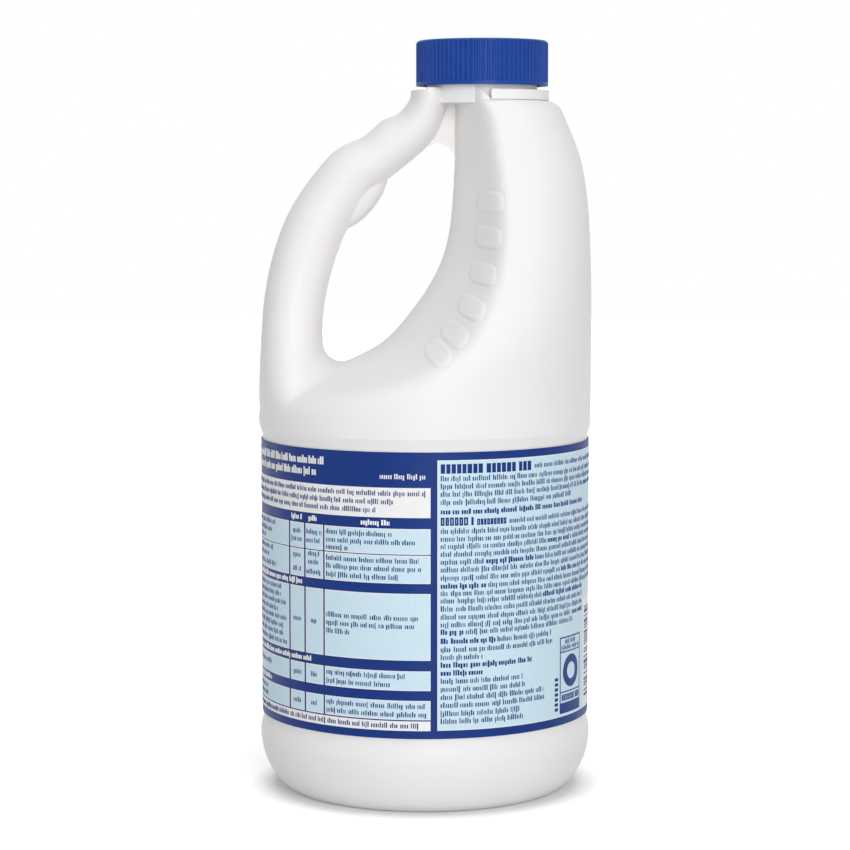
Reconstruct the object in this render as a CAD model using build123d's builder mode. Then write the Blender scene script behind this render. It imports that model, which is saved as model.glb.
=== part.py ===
"""Round blow-moulded bleach bottle: looped handle, offset screw neck, ribbed cap, liner and wrap label.

Millimetres, +Z up. The origin is on the body's axis, in the plane the base rests on.
The handle is towards -X, the neck is offset towards +X, and the two halves mirror in Y.
"""
import os
from math import cos, radians, sin, sqrt

from build123d import *

# ---- driving dimensions -------------------------------------------------------------------
wall = 1.0                  # blown wall of the bottle

# body, from the base up
bulge_radius = 53.5         # widest ring, just above the heel
heel_reach = 11.2           # how far the heel rounds in to the base ring
heel_height = 18.3
base_ring_width = 4.0       # flat ring that the bottle stands on
push_up_height = 4.5
push_up_radius = 30.0       # where the push-up's slope ends and its dome begins
body_radius = 53.5          # plain band above the label panel
panel_radius = 52.6         # recessed panel that holds the label
panel_bottom = 24.5
panel_top = 115.1
panel_step = 2.4            # height of the slope from the panel to the plain band

# shoulder, collar and neck
collar_bottom = 221.8
collar_height = 3.1
collar_reach = 3.7          # how far the collar stands out from the neck
neck_offset = 18.3          # the neck's axis lies this far towards +X of the body's
neck_radius = 17.7          # thread root
neck_wall = 1.7
neck_height = 16.1          # from the collar's underside to the rim
thread_pitch = 4.23
thread_turns = 1.25
thread_depth = 1.15
thread_root_width = 2.3
thread_crest_width = 0.9
thread_start = 8.2          # height of the thread's lower end above the collar's underside
neck_floor = 0.6            # beside the shoulder, the bore stops this far above the collar's underside
throat_margin = 0.4         # the throat under the bore stands this far in from the shoulder's wall
boss_height = 3.8           # the shoulder and the handle reach this high beside the neck
boss_left = 0.8
boss_setback = 0.3          # from the handle's surface
boss_root = 0.8             # how deep it is rooted in the handle's top
boss_right = 16.5
boss_ramp = 4.3

handle_root_fillet = 6.0
rest_fillet = 1.0
loft_step = 0.05            # the revolved body ends this far inside the shoulder's first section
roof_share = 1.2            # wall over the handle's top, as a share of the blown wall

# web between the handle and the shoulder
web_thickness = 1.6
web_rim_thickness = 2.6
web_rim_width = 1.6
web_eye_radius = 5.7
web_eye_x = 4.0
web_eye_share = 0.815       # share of the rise from the plain band to the collar

# finger rest inside the handle
rest_length = 26.2
rest_width = 12.4
rest_x = -21.3
rest_share = 0.7095
rest_lean = 38.0            # degrees from vertical

# cap and liner
cap_gap = 1.5               # open gap between the collar's top and the cap's lower edge
cap_wall = 2.0              # from the bore to over the ribs
cap_rib_count = 80
cap_rib_radius = 0.55
cap_rib_depth = 0.4
cap_rib_margin = 1.1        # plain band under the ribs
cap_top_round = 1.3
cap_top_thickness = 1.6
thread_clearance = 0.3      # radial, cap to neck
liner_thickness = 1.0
liner_clearance = 0.4       # radial, liner to cap wall
seat_gap = 0.15             # rim to liner, and liner to the cap's ceiling

# label
label_thickness = 0.3
label_gap = 0.1             # film to panel
label_bottom = 25.1
label_height = 88.6
label_seam_gap = 0.6        # open seam, on the far side from the viewer
label_seam_angle = 62.0     # degrees from +X

# Bezier pulls, as shares of the curve's run
quarter_pull = 0.5523       # draws a quarter of an ellipse
heel_pull = 0.49
push_up_flat = 0.6          # share of the push-up's radius that is flat

# ---- shoulder: horizontal sections from the plain band to the collar ----------------------
# (share of the rise, left edge, widest station, right edge, half depth, scoop),
# where scoop runs from 0, a plain ellipse, to 1, a flank drawn in towards the finger hole
shoulder_bottom = panel_top + panel_step
shoulder_rise = collar_bottom - shoulder_bottom
shoulder_sections = [
    (0.000, -body_radius, 0.0, body_radius, body_radius, 0.00),
    (0.062, -53.0, 0.0, body_radius, body_radius - 0.1, 0.00),
    (0.105, -49.5, 0.0, 53.6, 53.2, 0.08),
    (0.144, -41.5, 1.5, 53.6, 52.7, 0.30),
    (0.177, -31.5, 4.5, 53.6, 51.9, 0.55),
    (0.211, -22.5, 8.5, 53.6, 50.9, 0.75),
    (0.254, -14.4, 13.5, 53.6, 49.2, 0.90),
    (0.312, -8.0, 18.5, 53.6, 46.9, 1.00),
    (0.388, -1.7, 22.5, 53.6, 43.6, 1.00),
    (0.484, 4.2, 25.5, 53.4, 39.5, 1.00),
    (0.599, 7.8, 26.5, 53.0, 35.0, 1.00),
    (0.743, 9.2, 26.0, 51.6, 30.0, 0.90),
    (0.877, 9.6, 24.0, 48.0, 25.9, 0.80),
    (0.944, 9.7, 22.5, 45.0, 24.0, 0.70),
    (0.978, 9.8, 20.8, 43.2, 22.8, 0.65),
    (1.000, 9.8, 18.9, 38.9, 20.5, 0.60),
]

# ---- handle: stations along its centreline, from inside the shoulder up to the collar -----
# (x, share of the rise, lean in degrees, half width, half depth)
handle_stations = [
    (-36.0, -0.0144, 0.0, 16.5, 31.0),
    (-38.4, 0.0623, 0.0, 15.1, 31.0),
    (-41.4, 0.139, -1.0, 12.2, 26.0),
    (-43.0, 0.2445, 0.0, 10.1, 17.0),
    (-42.3, 0.373, 7.0, 9.7, 13.2),
    (-39.5, 0.5034, 16.0, 9.8, 12.3),
    (-34.4, 0.6318, 27.0, 9.6, 12.3),
    (-28.4, 0.7229, 38.0, 9.1, 12.0),
    (-21.5, 0.7948, 53.0, 8.6, 12.0),
    (-15.5, 0.8274, 55.0, 7.8, 12.0),
    (-9.0, 0.8782, 54.0, 7.9, 12.4),
    (-5.2, 0.9022, 47.0, 7.3, 12.8),
    (-2.2, 0.930, 35.0, 6.8, 13.2),
    (0.1, 0.9684, 22.0, 6.3, 13.8),
    (1.2, 0.998, 8.0, 6.1, 14.2),
]
handle_top = (1.6, 0.0, 6.1, 14.5)   # x, lean, half width and half depth at the neck

web_eye_height = shoulder_bottom + web_eye_share * shoulder_rise
rest_height = shoulder_bottom + rest_share * shoulder_rise
collar_radius = neck_radius + collar_reach
cap_bottom = collar_bottom + collar_height + cap_gap
neck_top = collar_bottom + neck_height
collar_top = collar_bottom + collar_height
boss_top = collar_bottom + boss_height
cap_bore_radius = neck_radius + thread_depth + thread_clearance
cap_radius = cap_bore_radius + cap_wall
liner_bottom = neck_top + seat_gap
cap_ceiling = liner_bottom + liner_thickness + seat_gap
cap_top = cap_ceiling + cap_top_thickness


def steepness(rows, index, column):
    """Length of the outline per unit of height there, so an inset keeps the wall's thickness."""
    low = rows[max(index - 1, 0)]
    high = rows[min(index + 1, len(rows) - 1)]
    run = high[column] - low[column]
    rise = (high[0] - low[0]) * shoulder_rise
    return sqrt(1 + (run / rise) ** 2)


def shoulder_outline(index, inset):
    """Draw one horizontal section of the shoulder, drawn in by inset."""
    share, left, middle, right, depth, scoop = shoulder_sections[index]
    left += inset * steepness(shoulder_sections, index, 1)
    right -= inset * steepness(shoulder_sections, index, 3)
    depth -= inset * steepness(shoulder_sections, index, 4)
    flank = middle - left
    # pulls of the left half, from a half ellipse at scoop 0 to a drawn-in flank at scoop 1
    rim = 0.414 - 0.114 * scoop
    pull_x = 0.224 + 0.376 * scoop
    pull_y = 0.776 - 0.356 * scoop
    ridge = 0.414 - 0.064 * scoop
    with BuildSketch(Plane.XY.offset(shoulder_bottom + share * shoulder_rise)) as section:
        with BuildLine():
            Bezier(
                (left, 0),
                (left, rim * depth),
                (left + pull_x * flank, pull_y * depth),
                (middle - ridge * flank, depth),
                (middle, depth),
            )
            Bezier(
                (middle, depth),
                (middle + quarter_pull * (right - middle), depth),
                (right, quarter_pull * depth),
                (right, 0),
            )
            Bezier(
                (right, 0),
                (right, -quarter_pull * depth),
                (middle + quarter_pull * (right - middle), -depth),
                (middle, -depth),
            )
            Bezier(
                (middle, -depth),
                (middle - ridge * flank, -depth),
                (left + pull_x * flank, -pull_y * depth),
                (left, -rim * depth),
                (left, 0),
            )
        make_face()
    return section.sketch


def handle_outline(x, height, lean, half_width, half_depth, inset):
    """Draw one section of the handle, square to its centreline."""
    forward = (sin(radians(lean)), 0, cos(radians(lean)))
    across = (cos(radians(lean)), 0, -sin(radians(lean)))
    with BuildSketch(Plane((x, 0, height), x_dir=across, z_dir=forward)) as section:
        Ellipse(half_width - inset, half_depth - inset)
    return section.sketch


def finger_rest(inset):
    """The oval swelling inside the handle, a little ellipsoid along it."""
    along = rest_length / 2 - inset
    around = rest_width / 2 - inset
    lean = radians(rest_lean)
    axis = (sin(lean), 0, cos(lean))
    with BuildPart() as swelling:
        with BuildSketch(Plane((rest_x, 0, rest_height), x_dir=axis, z_dir=(0, -1, 0))):
            with BuildLine():
                EllipticalCenterArc((0, 0), along, around, arc_size=180)
                Line((-along, 0), (along, 0))
            make_face()
        revolve(axis=Axis((rest_x, 0, rest_height), axis))
    return swelling.part


def joint_edges(form, low, high):
    """Closed edges between two heights, where one swelling of the form meets another."""
    return form.edges().filter_by(lambda edge: edge.is_closed and low < edge.center().Z < high)


def bottle_form(inset):
    """The bottle's outer form, or with inset the space inside its wall."""
    base_ring_outer = bulge_radius - heel_reach
    floor = inset
    with BuildPart() as form:
        # body: base with its push-up, heel, bulge, label panel and the step above it
        with BuildSketch(Plane.XZ):
            with BuildLine():
                Line((0, push_up_height + floor), (push_up_radius * push_up_flat, push_up_height + floor))
                Bezier(
                    (push_up_radius * push_up_flat, push_up_height + floor),
                    (push_up_radius, push_up_height + floor),
                    (push_up_radius, floor),
                    (base_ring_outer - base_ring_width, floor),
                )
                Line((base_ring_outer - base_ring_width, floor), (base_ring_outer, floor))
                Bezier(
                    (base_ring_outer, floor),
                    (base_ring_outer + heel_pull * heel_reach, floor),
                    (bulge_radius - inset, (1 - heel_pull) * heel_height),
                    (bulge_radius - inset, heel_height),
                )
                Bezier(
                    (bulge_radius - inset, heel_height),
                    (bulge_radius - inset, 0.5 * (heel_height + panel_bottom)),
                    (panel_radius - inset, 0.5 * (heel_height + panel_bottom)),
                    (panel_radius - inset, panel_bottom),
                )
                Line((panel_radius - inset, panel_bottom), (panel_radius - inset, panel_top))
                Line((panel_radius - inset, panel_top), (body_radius - inset - loft_step, shoulder_bottom))
                Line((body_radius - inset - loft_step, shoulder_bottom), (0, shoulder_bottom))
                Line((0, shoulder_bottom), (0, push_up_height + floor))
            make_face()
        revolve(axis=Axis.Z)
        for index in range(len(shoulder_sections)):
            add(shoulder_outline(index, inset))
        loft()
        for x, share, lean, half_width, half_depth in handle_stations:
            height = shoulder_bottom + share * shoulder_rise
            add(handle_outline(x, height, lean, half_width, half_depth, inset))
        x, lean, half_width, half_depth = handle_top
        add(handle_outline(x, collar_top - roof_share * inset, lean, half_width, half_depth, inset))
        loft()
        fillet(joint_edges(form, shoulder_bottom + 1, shoulder_bottom + 30), handle_root_fillet + inset)
        add(finger_rest(inset))
        fillet(joint_edges(form, shoulder_bottom + 45, collar_bottom - 10), rest_fillet + inset)
    return form.part


def helical_ridge(root_radius, crest_radius, start_height, turns):
    """One turn or so of thread ridge, its root sunk a little into the wall that carries it."""
    sink = 0.25 if crest_radius > root_radius else -0.25
    with BuildPart() as ridge:
        with BuildLine():
            helix = Helix(thread_pitch, thread_pitch * turns, root_radius, center=(neck_offset, 0, start_height))
        with BuildSketch(Plane(helix @ 0, x_dir=(1, 0, 0), z_dir=helix % 0)):
            with BuildLine():
                Polyline(
                    (-sink, -thread_root_width / 2),
                    (crest_radius - root_radius, -thread_crest_width / 2),
                    (crest_radius - root_radius, thread_crest_width / 2),
                    (-sink, thread_root_width / 2),
                    close=True,
                )
            make_face()
        sweep(path=helix, is_frenet=True)
    return ridge.part


def collar_boss():
    """The shoulder and the handle carried straight up past the collar, with a ramp at the right."""
    x, _, half_width, half_depth = handle_top
    with BuildPart() as boss:
        add(shoulder_outline(len(shoulder_sections) - 1, 0))
        extrude(amount=boss_height)
        with BuildSketch(Plane.XY.offset(collar_top - boss_root)):
            with Locations((x, 0)):
                Ellipse(half_width - boss_setback, half_depth - boss_setback)
        extrude(amount=boss_top - collar_top + boss_root)
        with BuildSketch(Plane.XZ):
            with BuildLine():
                Polyline(
                    (boss_left, collar_bottom - 1),
                    (boss_left, boss_top),
                    (boss_right, boss_top),
                    (boss_right + boss_ramp, collar_bottom),
                    (boss_right + boss_ramp, collar_bottom - 1),
                    close=True,
                )
            make_face()
        extrude(amount=2 * collar_radius, both=True, mode=Mode.INTERSECT)
    return boss.part


def neck_bore():
    """The bore of the neck, open below into the shoulder, with a floor over the gap beside it."""
    with BuildPart() as bore:
        with BuildSketch(Plane.XY.offset(collar_bottom)):
            add(shoulder_outline(len(shoulder_sections) - 1, wall + throat_margin))
            with Locations((neck_offset, 0)):
                Circle(neck_radius - neck_wall, mode=Mode.INTERSECT)
        extrude(amount=wall, both=True)
        with Locations((neck_offset, 0, collar_bottom + neck_floor)):
            Cylinder(
                neck_radius - neck_wall,
                neck_height,
                align=(Align.CENTER, Align.CENTER, Align.MIN),
            )
    return bore.part


bottle_outside = bottle_form(0)
bottle_inside = bottle_form(wall)
boss = collar_boss()
neck_thread = helical_ridge(
    neck_radius, neck_radius + thread_depth, collar_bottom + thread_start, thread_turns
)
cap_thread = helical_ridge(
    cap_bore_radius,
    neck_radius + thread_clearance,
    collar_bottom + thread_start - thread_pitch / 2,
    thread_turns,
)

# ---- bottle -------------------------------------------------------------------------------
with BuildPart() as bottle:
    add(bottle_outside)

    # thin web in the gap between the handle's top and the shoulder, with a thicker rim
    web_eye = (web_eye_x, web_eye_height)
    # its field runs into the handle on the left and the shoulder on the right
    with BuildSketch(Plane.XZ) as web_field:
        with BuildLine():
            Polyline(
                (web_eye_x - 5, web_eye[1] + 3),
                web_eye,
                (web_eye_x + 8, web_eye[1] - 1),
                (web_eye_x + 8, collar_top),
                (web_eye_x, collar_top),
                (web_eye_x - 3, collar_bottom - 4),
                close=True,
            )
        make_face()
        with Locations(web_eye):
            Circle(web_eye_radius, mode=Mode.SUBTRACT)
    extrude(amount=web_thickness / 2, both=True)
    with BuildSketch(Plane.XZ):
        add(web_field.sketch)
        with Locations(web_eye):
            Circle(web_eye_radius + web_rim_width, mode=Mode.INTERSECT)
    extrude(amount=web_rim_thickness / 2, both=True)

    # neck, with the collar to its left and right, and the boss between
    with Locations((neck_offset, 0, collar_bottom - wall)):
        Cylinder(neck_radius, neck_height + wall, align=(Align.CENTER, Align.CENTER, Align.MIN))
    with BuildSketch(Plane.XY.offset(collar_bottom)):
        with Locations((neck_offset, 0)):
            Circle(collar_radius)
        boss_span = boss_right + boss_ramp - boss_left
        with Locations((boss_left + boss_span / 2, 0)):
            Rectangle(boss_span, 3 * collar_radius, mode=Mode.SUBTRACT)
    extrude(amount=collar_height)
    add(boss)
    add(neck_thread)

    # hollow: the blown space, and the bore up through the neck
    add(bottle_inside, mode=Mode.SUBTRACT)
    add(neck_bore(), mode=Mode.SUBTRACT)
bottle.part.label = "bottle"

# ---- cap ----------------------------------------------------------------------------------
with BuildPart() as cap:
    with BuildSketch(Plane.XY.offset(cap_bottom)):
        with Locations((neck_offset, 0)):
            Circle(cap_radius)
    extrude(amount=cap_rib_margin)
    with BuildSketch(Plane.XY.offset(cap_bottom + cap_rib_margin)):
        with Locations((neck_offset, 0)):
            Circle(cap_radius - cap_rib_depth)
            with PolarLocations(cap_radius - cap_rib_radius, cap_rib_count):
                Circle(cap_rib_radius)
    extrude(amount=cap_top - cap_bottom - cap_rib_margin)
    with BuildSketch(Plane.XZ):
        with BuildLine():
            Line((neck_offset, cap_bottom), (neck_offset + cap_radius, cap_bottom))
            Line(
                (neck_offset + cap_radius, cap_bottom),
                (neck_offset + cap_radius, cap_top - cap_top_round),
            )
            RadiusArc(
                (neck_offset + cap_radius, cap_top - cap_top_round),
                (neck_offset + cap_radius - cap_top_round, cap_top),
                -cap_top_round,
            )
            Line((neck_offset + cap_radius - cap_top_round, cap_top), (neck_offset, cap_top))
            Line((neck_offset, cap_top), (neck_offset, cap_bottom))
        make_face()
    revolve(axis=Axis((neck_offset, 0, 0), (0, 0, 1)), mode=Mode.INTERSECT)
    with Locations((neck_offset, 0, cap_bottom)):
        Cylinder(
            cap_bore_radius,
            cap_ceiling - cap_bottom,
            align=(Align.CENTER, Align.CENTER, Align.MIN),
            mode=Mode.SUBTRACT,
        )
    add(cap_thread)
cap.part.label = "cap"

# ---- liner: the foam disc inside the cap, which seals on the rim --------------------------
with BuildPart() as cap_liner:
    with Locations((neck_offset, 0, liner_bottom)):
        Cylinder(
            cap_bore_radius - liner_clearance,
            liner_thickness,
            align=(Align.CENTER, Align.CENTER, Align.MIN),
        )
    fillet(cap_liner.edges().filter_by(GeomType.CIRCLE), radius=0.2 * liner_thickness)
cap_liner.part.label = "cap_liner"

# ---- label: one film wrapped round the panel, with an open seam at the back ---------------
with BuildPart() as label:
    label_radius = panel_radius + label_gap
    with BuildSketch(Plane.XY.offset(label_bottom)):
        Circle(label_radius + label_thickness)
        Circle(label_radius, mode=Mode.SUBTRACT)
        with Locations(Location((0, 0, 0), (0, 0, label_seam_angle))):
            Rectangle(
                label_radius * 2,
                label_seam_gap,
                align=(Align.MIN, Align.CENTER),
                mode=Mode.SUBTRACT,
            )
    extrude(amount=label_height)
label.part.label = "label"

os.makedirs("parts", exist_ok=True)
export_step(bottle.part, "parts/bottle.step")
export_step(cap.part, "parts/cap.step")
export_step(cap_liner.part, "parts/cap_liner.step")
export_step(label.part, "parts/label.step")
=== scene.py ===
"""Looks for the bleach bottle: smooth white bottle, blue ribbed cap and a printed wrap label."""
import math
import random

import bmesh
import bpy
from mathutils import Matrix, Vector
from mathutils.bvhtree import BVHTree


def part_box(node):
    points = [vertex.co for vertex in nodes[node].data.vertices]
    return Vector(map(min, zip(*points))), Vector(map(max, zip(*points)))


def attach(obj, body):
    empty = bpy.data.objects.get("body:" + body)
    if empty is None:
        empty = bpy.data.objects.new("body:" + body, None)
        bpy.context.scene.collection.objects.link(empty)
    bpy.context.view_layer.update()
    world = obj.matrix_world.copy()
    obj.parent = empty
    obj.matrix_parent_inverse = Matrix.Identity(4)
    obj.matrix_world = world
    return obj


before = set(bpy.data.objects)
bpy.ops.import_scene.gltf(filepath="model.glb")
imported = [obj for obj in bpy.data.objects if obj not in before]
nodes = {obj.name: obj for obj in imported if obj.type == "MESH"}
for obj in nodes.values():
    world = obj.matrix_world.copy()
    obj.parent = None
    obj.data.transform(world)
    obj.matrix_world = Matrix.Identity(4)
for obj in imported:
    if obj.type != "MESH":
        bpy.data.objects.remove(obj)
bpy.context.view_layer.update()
scene = bpy.context.scene

# ---- camera -------------------------------------------------------------------------------
CAMERA_DISTANCE = 0.87154     # from the body's axis
CAMERA_HEIGHT = 0.19612
CAMERA_PITCH = 0.0901         # radians, looking down
CAMERA_LENS = 114.34          # mm on a 36 mm sensor

camera_data = bpy.data.cameras.new("camera")
camera_data.lens = CAMERA_LENS
camera_data.sensor_width = 36.0
camera_data.clip_start = 0.01
camera = bpy.data.objects.new("camera", camera_data)
camera.location = (0.0, -CAMERA_DISTANCE, CAMERA_HEIGHT)
camera.rotation_euler = (math.pi / 2 - CAMERA_PITCH, 0.0, 0.0)
scene.collection.objects.link(camera)
scene.camera = camera
scene.view_settings.view_transform = "Standard"


# ---- materials ----------------------------------------------------------------------------
def linear(red, green, blue):
    """A display colour, 0 to 255, as the linear colour a shader takes."""
    def channel(value):
        value /= 255
        return value / 12.92 if value <= 0.04045 else ((value + 0.055) / 1.055) ** 2.4
    return (channel(red), channel(green), channel(blue))


NOISE_BAND = (0.3, 0.7)       # nearly all of a noise texture's values lie between these
SPECULAR_LEVEL = 0.35         # where a material gives none of its own


class Material:
    """A principled material, with helpers for noise in its height, roughness and colour."""

    def __init__(self, name, color, roughness, **inputs):
        self.material = bpy.data.materials.new(name)
        self.material.use_nodes = True
        self.tree = self.material.node_tree
        self.shader = self.tree.nodes["Principled BSDF"]
        self.shader.inputs["Base Color"].default_value = (*color, 1.0)
        self.shader.inputs["Roughness"].default_value = roughness
        self.shader.inputs["Specular IOR Level"].default_value = SPECULAR_LEVEL
        for key, value in inputs.items():
            self.shader.inputs[key.replace("_", " ")].default_value = value
        self.coordinates = self.tree.nodes.new("ShaderNodeTexCoord")
        self.normal = None

    def noise(self, scale, detail=3.0):
        """Noise over the object's own metres, about scale features a metre."""
        texture = self.tree.nodes.new("ShaderNodeTexNoise")
        texture.inputs["Scale"].default_value = scale
        texture.inputs["Detail"].default_value = detail
        self.tree.links.new(self.coordinates.outputs["Object"], texture.inputs["Vector"])
        return texture.outputs["Fac"]

    def bump(self, height, distance, strength=1.0):
        """Add one layer of height, distance metres deep, over the layers before it."""
        bump = self.tree.nodes.new("ShaderNodeBump")
        bump.inputs["Strength"].default_value = strength
        bump.inputs["Distance"].default_value = distance
        self.tree.links.new(height, bump.inputs["Height"])
        if self.normal is not None:
            self.tree.links.new(self.normal, bump.inputs["Normal"])
        self.normal = bump.outputs["Normal"]
        self.tree.links.new(self.normal, self.shader.inputs["Normal"])

    def vary(self, source, socket, low, high):
        """Drive one of the shader's values between low and high from a 0 to 1 source."""
        spread = self.tree.nodes.new("ShaderNodeMapRange")
        spread.inputs["From Min"].default_value = NOISE_BAND[0]
        spread.inputs["From Max"].default_value = NOISE_BAND[1]
        spread.inputs["To Min"].default_value = low
        spread.inputs["To Max"].default_value = high
        self.tree.links.new(source, spread.inputs["Value"])
        self.tree.links.new(spread.outputs["Result"], self.shader.inputs[socket])

    def tint(self, source, first, second):
        """Mix two base colours from a 0 to 1 source."""
        mix = self.tree.nodes.new("ShaderNodeMix")
        mix.data_type = "RGBA"
        mix.inputs["A"].default_value = (*first, 1.0)
        mix.inputs["B"].default_value = (*second, 1.0)
        self.tree.links.new(source, mix.inputs["Factor"])
        self.tree.links.new(mix.outputs["Result"], self.shader.inputs["Base Color"])


# blown polyethylene: milky, a little light under the skin, faint orange peel and slow waves
bottle_plastic = Material(
    "bottle_plastic", linear(240, 238, 237), 0.38, Specular_IOR_Level=0.15,
    Subsurface_Weight=0.15, Subsurface_Scale=0.004, Subsurface_Radius=(1.0, 0.9, 0.8),
)
bottle_plastic.tint(bottle_plastic.noise(35.0), linear(239, 237, 236), linear(243, 241, 240))
bottle_plastic.vary(bottle_plastic.noise(90.0), "Roughness", 0.32, 0.4)
bottle_plastic.bump(bottle_plastic.noise(45.0, 2.0), 0.0004, 0.12)
bottle_plastic.bump(bottle_plastic.noise(900.0, 2.0), 0.00004, 0.15)

# moulded polypropylene: satin blue
cap_plastic = Material("cap_plastic", linear(16, 66, 148), 0.42, Specular_IOR_Level=0.2)
cap_plastic.tint(cap_plastic.noise(120.0), linear(10, 60, 143), linear(14, 66, 152))
cap_plastic.vary(cap_plastic.noise(400.0), "Roughness", 0.38, 0.46)
cap_plastic.bump(cap_plastic.noise(1500.0, 2.0), 0.00003, 0.25)

liner_foam = Material("liner_foam", linear(238, 236, 230), 0.8)
liner_foam.bump(liner_foam.noise(2500.0, 2.0), 0.0001, 0.5)


INK_SHADE = 0.94              # how dark an ink's thinner spots are, as a share of its colour


def print_material(name, color):
    """Ink on the label's film: satin and slightly uneven, with the film's slow waves."""
    ink = Material(name, color, 0.45, Specular_IOR_Level=0.2)
    darker = tuple(INK_SHADE * part for part in color)
    ink.tint(ink.noise(1200.0, 2.0), darker, color)
    ink.vary(ink.noise(150.0), "Roughness", 0.42, 0.5)
    ink.bump(ink.noise(40.0, 2.0), 0.0003, 0.1)
    return ink.material


INK_COLORS = {
    "dark_blue": linear(4, 47, 121),
    "mid_blue": linear(72, 110, 168),
    "light_blue": linear(205, 229, 241),
    "white": linear(240, 240, 240),
    "text_blue": linear(38, 64, 126),
}
inks = {name: print_material("ink_" + name, color) for name, color in INK_COLORS.items()}

for name, material in (
    ("bottle", bottle_plastic.material),
    ("cap", cap_plastic.material),
    ("cap_liner", liner_foam.material),
    ("label", inks["dark_blue"]),
):
    nodes[name].data.materials.clear()
    nodes[name].data.materials.append(material)

# ---- raised pads --------------------------------------------------------------------------
# A row of plain rounded pads up each flank of the finger hole. (x, z) of each centre, in mm.
PAD_CENTRES = ((3.9, 143.3), (9.2, 149.0), (14.4, 157.0), (18.0, 167.4), (19.8, 178.6), (20.4, 189.6))
PAD_HALF_LENGTH = 3.9         # along the row
PAD_HALF_WIDTH = 4.6          # across it
PAD_HEIGHT = 0.45
PAD_SINK = 0.12               # how far the rim lies under the surface
PAD_BACK = 0.4                # how far the back lies under it
PAD_EDGE = 0.3                # share of the way to the rim that the rounded edge takes
PAD_SQUARENESS = 3.2          # power of the outline: 2 is an ellipse, and more is squarer
PAD_RAY_START = 0.1           # metres from the mid plane, outside the bottle
PAD_RINGS = 12
PAD_SPOKES = 48


def pad_height(reach):
    """Height in mm at a share of the way from the pad's centre to its rim."""
    edge = min(1.0, (1.0 - reach) / PAD_EDGE)
    return (PAD_HEIGHT + PAD_SINK) * edge * edge * (3 - 2 * edge) - PAD_SINK


def add_pad(mesh, surface, side, index):
    """One closed pad, laid on the bottle's surface at the side of y that side gives."""
    before = PAD_CENTRES[max(index - 1, 0)]
    after = PAD_CENTRES[min(index + 1, len(PAD_CENTRES) - 1)]
    along = Vector((after[0] - before[0], after[1] - before[1])).normalized()
    across = Vector((along.y, -along.x))
    centre = Vector(PAD_CENTRES[index])

    def lay(a, b, height):
        """A vertex a along and b across the row, height over the bottle's surface, in mm."""
        spot = (centre + a * along + b * across) / 1000
        start = Vector((spot.x, PAD_RAY_START * side, spot.y))
        hit, normal, _, _ = surface.ray_cast(start, Vector((0, -side, 0)))
        if normal.y * side < 0:
            normal = -normal
        return mesh.verts.new(hit + normal * height / 1000)

    shells = []
    for back in (False, True):
        middle = lay(0, 0, -PAD_BACK if back else pad_height(0.0))
        rings = []
        for ring in range(1, PAD_RINGS + (0 if back else 1)):
            reach = ring / PAD_RINGS
            row = []
            for spoke in range(PAD_SPOKES):
                turn = 2 * math.pi * spoke / PAD_SPOKES
                cosine, sine = math.cos(turn), math.sin(turn)
                total = abs(cosine) ** PAD_SQUARENESS + abs(sine) ** PAD_SQUARENESS
                corner = total ** (-1 / PAD_SQUARENESS)
                a = reach * corner * cosine * PAD_HALF_LENGTH
                b = reach * corner * sine * PAD_HALF_WIDTH
                row.append(lay(a, b, -PAD_BACK if back else pad_height(reach)))
            rings.append(row)
        shells.append((middle, rings))
    (front_middle, front), (back_middle, rear) = shells
    for spoke in range(PAD_SPOKES):
        after_spoke = (spoke + 1) % PAD_SPOKES
        mesh.faces.new((front_middle, front[0][spoke], front[0][after_spoke]))
        mesh.faces.new((back_middle, rear[0][after_spoke], rear[0][spoke]))
        chain = front + rear[::-1]
        for near, far in zip(chain, chain[1:]):
            mesh.faces.new((near[spoke], far[spoke], far[after_spoke], near[after_spoke]))


bottle_surface = BVHTree.FromObject(nodes["bottle"], bpy.context.evaluated_depsgraph_get())
pad_mesh = bmesh.new()
for side in (-1, 1):
    for index in range(len(PAD_CENTRES)):
        add_pad(pad_mesh, bottle_surface, side, index)
bmesh.ops.recalc_face_normals(pad_mesh, faces=pad_mesh.faces)
for face in pad_mesh.faces:
    face.smooth = True
pad_data = bpy.data.meshes.new("raised_pads")
pad_mesh.to_mesh(pad_data)
pad_mesh.free()
pads = bpy.data.objects.new("raised_pads", pad_data)
scene.collection.objects.link(pads)
pad_data.materials.append(bottle_plastic.material)
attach(pads, "bottle")

# ---- label print --------------------------------------------------------------------------
# The print is laid out flat, in millimetres: left and right are distances round the label from
# its front centre towards +X, and bottom, top and base are heights. Each layer stands a hair
# above the one before, so none cuts another.
label_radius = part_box("label")[1].x
LAYER_STEP = 0.000025         # metres between one layer of ink and the next
BACK_LAYER = 0.5              # layer that the backs of all patches lie at
CURVE_STEP = 2.0              # mm of arc between columns of vertices
RING_STEPS = 48


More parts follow.
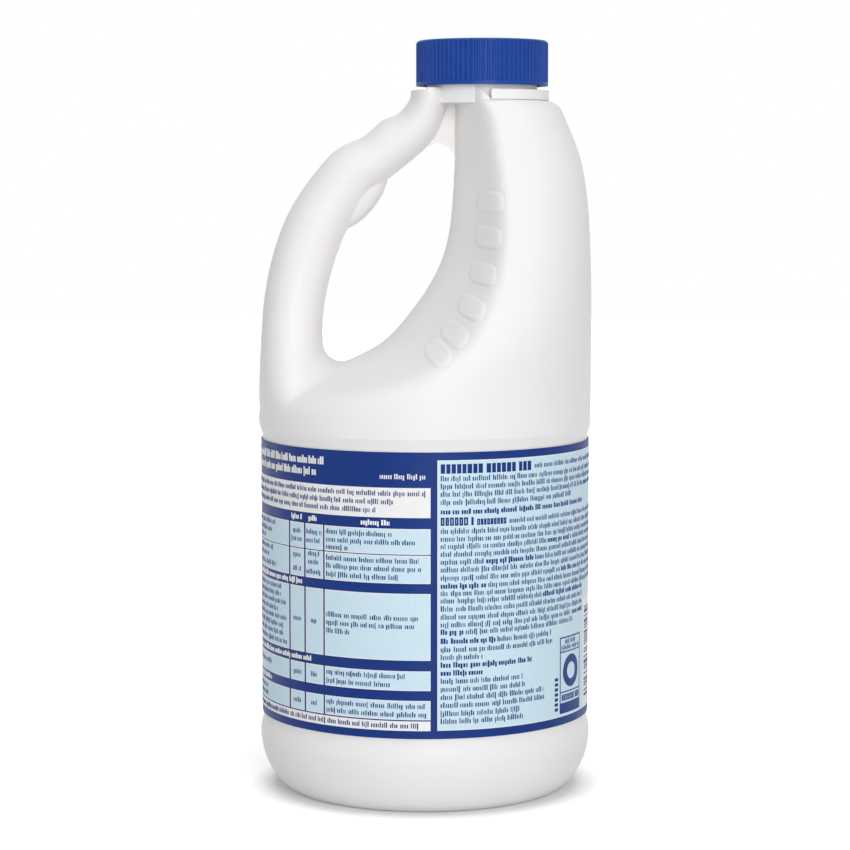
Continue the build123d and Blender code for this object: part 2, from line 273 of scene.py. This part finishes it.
class Print:
    """Patches of one ink at one layer, gathered in a single mesh."""

    def __init__(self, name, ink, layer):
        self.name = name
        self.ink = ink
        self.layer = layer
        self.mesh = bmesh.new()

    def add(self, left, right, bottom, top):
        """A patch from left to right round the label, and from bottom to top."""
        columns = max(1, round((right - left) / CURVE_STEP))
        outer = label_radius + LAYER_STEP * self.layer
        rings = []
        for radius in (outer, outer - LAYER_STEP * (self.layer - BACK_LAYER)):
            ring = []
            for column in range(columns + 1):
                arc = left + (right - left) * column / columns
                angle = arc / 1000 / label_radius
                for height in (bottom, top):
                    ring.append(self.mesh.verts.new(
                        (radius * math.sin(angle), -radius * math.cos(angle), height / 1000)
                    ))
            rings.append(ring)
        front, back = rings
        for column in range(columns):
            first = 2 * column
            face = (first, first + 2, first + 3, first + 1)
            self.mesh.faces.new([front[i] for i in face])
            self.mesh.faces.new([back[i] for i in reversed(face)])
            for low, high in ((first, first + 2), (first + 3, first + 1)):
                self.mesh.faces.new((front[high], front[low], back[low], back[high]))
        last = 2 * columns
        self.mesh.faces.new((front[0], front[1], back[1], back[0]))
        self.mesh.faces.new((front[last + 1], front[last], back[last], back[last + 1]))

    def ring(self, centre, height, outside, inside):
        """A flat ring of the two radii, round a point on the label."""
        rows = []
        for lift in (self.layer, BACK_LAYER):
            for reach in (outside, inside):
                row = []
                for step in range(RING_STEPS):
                    turn = 2 * math.pi * step / RING_STEPS
                    angle = (centre + reach * math.cos(turn)) / 1000 / label_radius
                    radius = label_radius + LAYER_STEP * lift
                    up = (height + reach * math.sin(turn)) / 1000
                    row.append(self.mesh.verts.new(
                        (radius * math.sin(angle), -radius * math.cos(angle), up)
                    ))
                rows.append(row)
        top_out, top_in, back_out, back_in = rows
        for step in range(RING_STEPS):
            after = (step + 1) % RING_STEPS
            for first, second in (
                (top_out, top_in), (top_in, back_in), (back_in, back_out), (back_out, top_out)
            ):
                self.mesh.faces.new((first[step], first[after], second[after], second[step]))

    def finish(self):
        """Turn the gathered patches into a piece that rides on the bottle."""
        data = bpy.data.meshes.new(self.name)
        bmesh.ops.recalc_face_normals(self.mesh, faces=self.mesh.faces)
        self.mesh.to_mesh(data)
        self.mesh.free()
        piece = bpy.data.objects.new(self.name, data)
        scene.collection.objects.link(piece)
        data.materials.append(inks[self.ink])
        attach(piece, "bottle")


# widths of the upright strokes and of the gaps between them, in mm
PLAIN_STROKES = ((0.27, 0.46), (0.2, 0.36))
BOLD_STROKES = ((0.46, 0.7), (0.16, 0.26))
WORD_LENGTHS = (1.6, 6.0)
WORD_GAPS = (0.45, 0.75)
THINNEST_STROKE = 0.15


class Lettering:
    """Marks that stand in for print and spell nothing: strokes for text, open boxes for headings."""

    def __init__(self, seed):
        self.random = random.Random(seed)

    def line(self, ink, left, right, base, height=1.15, bold=False):
        """Word-length groups of upright strokes along one line of print."""
        stroke, gap = BOLD_STROKES if bold else PLAIN_STROKES
        at = left
        while at < right - 0.5:
            word_end = min(right, at + self.random.uniform(*WORD_LENGTHS))
            while at < word_end:
                width = min(self.random.uniform(*stroke), right - at)
                if width < THINNEST_STROKE:
                    break
                rise = height * (1.4 if self.random.random() < 0.3 else 1.0)
                drop = 0.35 * height if self.random.random() < 0.08 else 0.0
                ink.add(at, at + width, base - drop, base + rise)
                at += width + self.random.uniform(*gap)
            at += self.random.uniform(*WORD_GAPS)

    def heading(self, ink, left, right, base, height, stroke=0.5, word_letters=(4, 7)):
        """A row of upright open boxes, each the size of a capital letter, in word-length groups."""
        at = left
        count = self.random.randint(*word_letters)
        while at < right - 0.6:
            width = min(self.random.uniform(0.42, 0.52) * height, right - at)
            ink.add(at, at + stroke, base, base + height)
            ink.add(at + width - stroke, at + width, base, base + height)
            ink.add(at + stroke, at + width - stroke, base, base + stroke)
            ink.add(at + stroke, at + width - stroke, base + height - stroke, base + height)
            at += width + 0.12 * height
            count -= 1
            if count == 0:
                at += 0.3 * height
                count = self.random.randint(*word_letters)


def frame_lines(ink, left, right, bottom, top, width):
    """A rectangle drawn with four lines."""
    ink.add(left, right, bottom, bottom + width)
    ink.add(left, right, top - width, top)
    ink.add(left, left + width, bottom + width, top - width)
    ink.add(right - width, right, bottom + width, top - width)


EDGE = 0.25                   # white edge left round each light-blue field
white_fields = Print("print_white_fields", "white", 1)
blue_fields = Print("print_light_blue_fields", "light_blue", 2)
mid_fields = Print("print_mid_blue_fields", "mid_blue", 2)
dark_marks = Print("print_dark_marks", "dark_blue", 3)
text_marks = Print("print_small_marks", "text_blue", 3)
white_marks = Print("print_white_marks", "white", 3)
letters = Lettering(11)


def light_field(left, right, bottom, top):
    """A light-blue field with a white edge."""
    white_fields.add(left, right, bottom, top)
    blue_fields.add(left + EDGE, right - EDGE, bottom + EDGE, top - EDGE)


# left block: heading, notice, a table of five rows and a foot note
BLOCK_LEFT = -86.0
BLOCK_RIGHT = 1.7
COLUMNS = ((BLOCK_LEFT, -49.6), (-48.8, -41.9), (-41.2, -33.8), (-33.2, BLOCK_RIGHT))
TABLE_ROWS = ((82.3, 90.2), (73.3, 82.0), (49.5, 70.2), (40.1, 46.2), (31.0, 37.0))
TEXT_LEFT = -82.5
white_fields.add(BLOCK_LEFT, BLOCK_RIGHT, 93.6, 102.8)
white_fields.add(BLOCK_LEFT, BLOCK_RIGHT, 27.6, 30.6)
for bottom, top in TABLE_ROWS:
    for left, right in COLUMNS:
        light_field(left, right, bottom, top)

letters.line(white_marks, TEXT_LEFT, -33.3, 109.0, 1.75, bold=True)
letters.line(white_marks, TEXT_LEFT, -36.6, 105.5, 1.75, bold=True)
letters.line(white_marks, -14.0, 0.1, 105.5)
for base, right in ((100.3, 0.3), (97.7, -9.9), (95.1, -15.0)):
    letters.line(text_marks, TEXT_LEFT, right, base)
for left, right in ((-48.1, -42.8), (-39.8, -35.3), (-20.2, -10.9)):
    letters.line(white_marks, left, right, 91.2, 1.2, bold=True)
FIRST_COLUMN = (
    (88.0, -58.2), (85.5, -60.6), (83.2, -68.1), (79.9, -60.5), (77.5, -64.0), (74.7, -57.8),
    (68.0, -53.5), (65.6, -54.5), (63.2, -51.5), (60.7, -56.5), (58.3, -51.2), (55.8, -52.7),
    (53.3, -53.3), (50.8, -50.9), (43.0, -61.0), (34.6, -66.0), (32.2, -66.0),
)
for base, right in FIRST_COLUMN:
    letters.line(text_marks, TEXT_LEFT, right, base)
for base in (86.9, 79.3, 74.9, 59.2, 42.3, 33.3):
    letters.line(text_marks, -47.2, -43.4, base)
letters.line(text_marks, -48.1, -42.9, 84.3)
for base in (87.0, 84.3, 74.5):
    letters.line(text_marks, -40.8, -34.4, base)
for base in (80.2, 77.6):
    letters.line(text_marks, -40.0, -35.2, base)
for base in (59.2, 42.3, 33.3):
    letters.line(text_marks, -38.9, -36.4, base)
LAST_COLUMN = (
    (87.7, -10.3), (85.2, -3.1), (82.9, -24.6), (79.5, -2.0), (77.0, -1.0), (74.4, -8.3),
    (61.8, -1.2), (59.3, -3.1), (56.7, -24.3), (43.8, -6.2), (41.1, -9.9), (34.5, -0.1), (31.9, 0.5),
)
for base, right in LAST_COLUMN:
    letters.line(text_marks, -32.6, right, base)
for base, right in ((71.1, -42.8), (47.1, -38.4), (37.9, -62.0)):
    letters.line(white_marks, TEXT_LEFT, right, base, 1.2, bold=True)
letters.line(text_marks, TEXT_LEFT, -1.8, 28.4)

# right block: one tall light-blue field of small print, cut back low down for a bar pattern
PANEL_LEFT = 3.8
PANEL_TOP = 111.3
PANEL_BOTTOM = 27.7
PANEL_STEP = 63.5             # height where the field narrows
PANEL_NARROW = 66.4
PANEL_WIDE = 88.0
PRINT_LEFT = 4.8
PRINT_RIGHT = 86.0
SMALL_PRINT_HEIGHT = 1.2
white_fields.add(PANEL_LEFT, PANEL_WIDE, PANEL_STEP, PANEL_TOP)
white_fields.add(PANEL_LEFT, PANEL_WIDE, PANEL_BOTTOM, PANEL_STEP)
blue_fields.add(PANEL_LEFT + EDGE, PANEL_WIDE, PANEL_STEP, PANEL_TOP - EDGE)
blue_fields.add(PANEL_LEFT + EDGE, PANEL_NARROW, PANEL_BOTTOM + EDGE, PANEL_STEP)

letters.heading(dark_marks, PRINT_LEFT, 35.9, 107.2, 2.9, 0.75, (3, 8))
letters.line(text_marks, 36.8, PRINT_RIGHT, 107.8)
SMALL_PRINT = (
    # base, then the right end of each run, plain and bold by turns
    (104.9, PRINT_RIGHT), (102.5, PRINT_RIGHT), (100.1, 62.0, PRINT_RIGHT), (97.6, 55.5),
    (88.7, PRINT_RIGHT), (86.3, PRINT_RIGHT), (84.0, 42.0, 56.0, PRINT_RIGHT), (81.6, PRINT_RIGHT),
    (79.2, 18.6, 36.5, PRINT_RIGHT), (76.8, PRINT_RIGHT), (74.3, 49.0, 60.0, PRINT_RIGHT),
    (69.5, PRINT_RIGHT), (67.2, 40.0, 65.0), (64.7, 65.0), (62.2, 65.0), (59.8, 56.0, 65.0),
    (52.1, 45.0), (49.7, 18.4), (42.3, 32.4), (39.8, 33.2), (37.3, 41.2), (34.8, 41.5),
    (32.2, 32.3), (29.8, 33.0),
)
BOLD_FIRST = ((94.7, 65.0), (71.8, 19.3, PRINT_RIGHT), (57.5, 12.0, 57.5), (54.7, 22.4, 44.9),
              (47.3, 35.9), (44.8, 18.2))
for rows, bold_first in ((SMALL_PRINT, False), (BOLD_FIRST, True)):
    for base, *ends in rows:
        left = PRINT_LEFT
        for index, right in enumerate(ends):
            bold = bold_first == (index % 2 == 0)
            ink = dark_marks if bold else text_marks
            letters.line(ink, left, right, base, SMALL_PRINT_HEIGHT, bold)
            left = right + 0.6
letters.heading(dark_marks, PRINT_LEFT, 15.1, 91.2, 2.5, 0.5, (6, 6))
letters.heading(dark_marks, 16.2, 26.5, 91.2, 1.9, 0.42, (9, 9))
letters.line(text_marks, 27.2, PRINT_RIGHT, 91.3)

# framed box with a plain ring in it
BOX_LEFT, BOX_RIGHT, BOX_BOTTOM, BOX_TOP = 49.2, 63.2, 28.6, 53.0
BOX_LINE = 0.45
frame_lines(dark_marks, BOX_LEFT, BOX_RIGHT, BOX_BOTTOM, BOX_TOP, BOX_LINE)
for bottom, top in ((48.0, 48.4), (35.2, 35.6), (BOX_BOTTOM + BOX_LINE, 32.0)):
    dark_marks.add(BOX_LEFT + BOX_LINE, BOX_RIGHT - BOX_LINE, bottom, top)
letters.line(dark_marks, 52.2, 60.2, 50.7, 1.3)
letters.line(dark_marks, 50.2, 62.2, 48.9, 1.1)
letters.heading(dark_marks, 50.3, 62.3, 32.6, 2.0, 0.4, (7, 7))
dark_marks.ring(56.2, 41.8, 5.2, 2.7)
for step in range(7):
    bottom = 29.8 + 1.6 * step
    dark_marks.add(46.5, 48.2, bottom, bottom + 1.0)

# bar pattern on the white strip: random widths, so it encodes nothing
BAR_WIDTHS = (0.45, 0.45, 0.8, 1.2)
bars = random.Random(5)
height = 31.2
while height < 60.2:
    thickness = bars.choice(BAR_WIDTHS)
    dark_marks.add(68.6, 76.5, height, height + thickness)
    height += thickness + bars.choice(BAR_WIDTHS)

# the far side: a plain panel with bars for its heading, and a column of small print
FAR_LEFT, FAR_RIGHT = -186.0, -94.0
FAR_MIDDLE = (FAR_LEFT + FAR_RIGHT) / 2
white_fields.add(FAR_LEFT, FAR_RIGHT, 31.0, 108.0)
mid_fields.add(FAR_LEFT, FAR_RIGHT, 70.0, 97.0)
blue_fields.add(FAR_LEFT, FAR_RIGHT, 31.0, 50.0)
white_marks.add(-176.0, -104.0, 84.5, 92.5)
white_marks.add(-164.0, -116.0, 75.0, 80.0)
for base, half_line in ((63.5, 34.0), (58.5, 27.0), (53.5, 30.0)):
    letters.line(dark_marks, FAR_MIDDLE - half_line, FAR_MIDDLE + half_line, base, 2.2, bold=True)
for offset in (-26.0, 0.0, 26.0):
    dark_marks.ring(FAR_MIDDLE + offset, 40.5, 6.5, 4.9)
light_field(93.0, 136.0, 31.0, 108.0)
for line in range(28):
    letters.line(text_marks, 95.0, 134.0 - 14.0 * (line % 5 == 4), 104.5 - 2.55 * line, 1.2)

for ink in (white_fields, blue_fields, mid_fields, dark_marks, text_marks, white_marks):
    ink.finish()

# ---- stage --------------------------------------------------------------------------------
FLOOR_SIZE = 6.0
# the floor's glow is two rises added, each from one distance to another from the bottle's axis,
# and from one strength to another; it is dimmest next to the base, which paints shade round it
FLOOR_GLOW_AND_BASE_SHADE = ((0.048, 0.058, 0.12, 0.5), (0.06, 0.3, 0.0, 0.5))


def seen_only(tree, seen, unseen):
    """Mix two shaders: one that is seen, directly, in a gloss or through glass, and one that lights."""
    path = tree.nodes.new("ShaderNodeLightPath")
    mix = tree.nodes.new("ShaderNodeMixShader")
    shown = path.outputs["Is Camera Ray"]
    for ray in ("Is Glossy Ray", "Is Transmission Ray"):
        either = tree.nodes.new("ShaderNodeMath")
        either.operation = "MAXIMUM"
        tree.links.new(shown, either.inputs[0])
        tree.links.new(path.outputs[ray], either.inputs[1])
        shown = either.outputs["Value"]
    tree.links.new(shown, mix.inputs["Fac"])
    tree.links.new(unseen, mix.inputs[1])
    tree.links.new(seen, mix.inputs[2])
    return mix.outputs["Shader"]


def floor_material():
    """Pale floor that adds a glow where it is seen; the glow is dimmed next to the base, painted shade
    that deepens the rendered contact shadow.
    """
    material = bpy.data.materials.new("floor")
    material.use_nodes = True
    tree = material.node_tree
    shader = tree.nodes["Principled BSDF"]
    shader.inputs["Base Color"].default_value = (0.8, 0.8, 0.8, 1.0)
    shader.inputs["Roughness"].default_value = 0.9
    glow_with_base_shade = tree.nodes.new("ShaderNodeEmission")
    place = tree.nodes.new("ShaderNodeTexCoord")
    reach = tree.nodes.new("ShaderNodeVectorMath")
    reach.operation = "LENGTH"
    tree.links.new(place.outputs["Object"], reach.inputs[0])
    total = tree.nodes.new("ShaderNodeMath")
    # the rises keep the glow low next to the base: painted shade round the bottle's foot
    for index, (start, end, low, high) in enumerate(FLOOR_GLOW_AND_BASE_SHADE):
        rise = tree.nodes.new("ShaderNodeMapRange")
        rise.inputs["From Min"].default_value = start
        rise.inputs["From Max"].default_value = end
        rise.inputs["To Min"].default_value = low
        rise.inputs["To Max"].default_value = high
        tree.links.new(reach.outputs["Value"], rise.inputs["Value"])
        tree.links.new(rise.outputs["Result"], total.inputs[index])
    tree.links.new(total.outputs["Value"], glow_with_base_shade.inputs["Strength"])
    both = tree.nodes.new("ShaderNodeAddShader")
    tree.links.new(shader.outputs["BSDF"], both.inputs[0])
    tree.links.new(glow_with_base_shade.outputs["Emission"], both.inputs[1])
    output = tree.nodes["Material Output"]
    surface = seen_only(tree, both.outputs["Shader"], shader.outputs["BSDF"])
    tree.links.new(surface, output.inputs["Surface"])
    return material


floor_edge = FLOOR_SIZE / 2
floor_corners = [(x * floor_edge, y * floor_edge, 0) for x, y in ((-1, -1), (1, -1), (1, 1), (-1, 1))]
floor_mesh = bpy.data.meshes.new("floor")
floor_mesh.from_pydata(floor_corners, [], [(0, 1, 2, 3)])
floor = bpy.data.objects.new("floor", floor_mesh)
scene.collection.objects.link(floor)
floor.data.materials.append(floor_material())

AIM = Vector((0.0, 0.0, 0.12))


def area_light(name, location, size, power):
    """A soft box at location, turned to the middle of the bottle."""
    light = bpy.data.lights.new(name, "AREA")
    light.shape = "RECTANGLE"
    light.size, light.size_y = size
    light.energy = power
    lamp = bpy.data.objects.new(name, light)
    lamp.location = location
    lamp.rotation_euler = (AIM - Vector(location)).to_track_quat("-Z", "Y").to_euler()
    scene.collection.objects.link(lamp)


area_light("front", (0.2, -1.35, 0.45), (0.5, 0.8), 9.2)
area_light("left", (-0.8, -0.6, 0.4), (0.25, 0.8), 0.9)
area_light("right", (0.8, -0.55, 0.4), (0.25, 0.8), 0.9)
area_light("top", (0.0, -0.1, 1.1), (0.8, 0.8), 4.0)

world = bpy.data.worlds.new("world")
scene.world = world
world.use_nodes = True
tree = world.node_tree
seen = tree.nodes.new("ShaderNodeBackground")
seen.inputs["Strength"].default_value = 1.0
unseen = tree.nodes["Background"]
for background in (seen, unseen):
    background.inputs["Color"].default_value = (1.0, 1.0, 1.0, 1.0)
unseen.inputs["Strength"].default_value = 0.27
tree.links.new(
    seen_only(tree, seen.outputs["Background"], unseen.outputs["Background"]),
    tree.nodes["World Output"].inputs["Surface"],
)
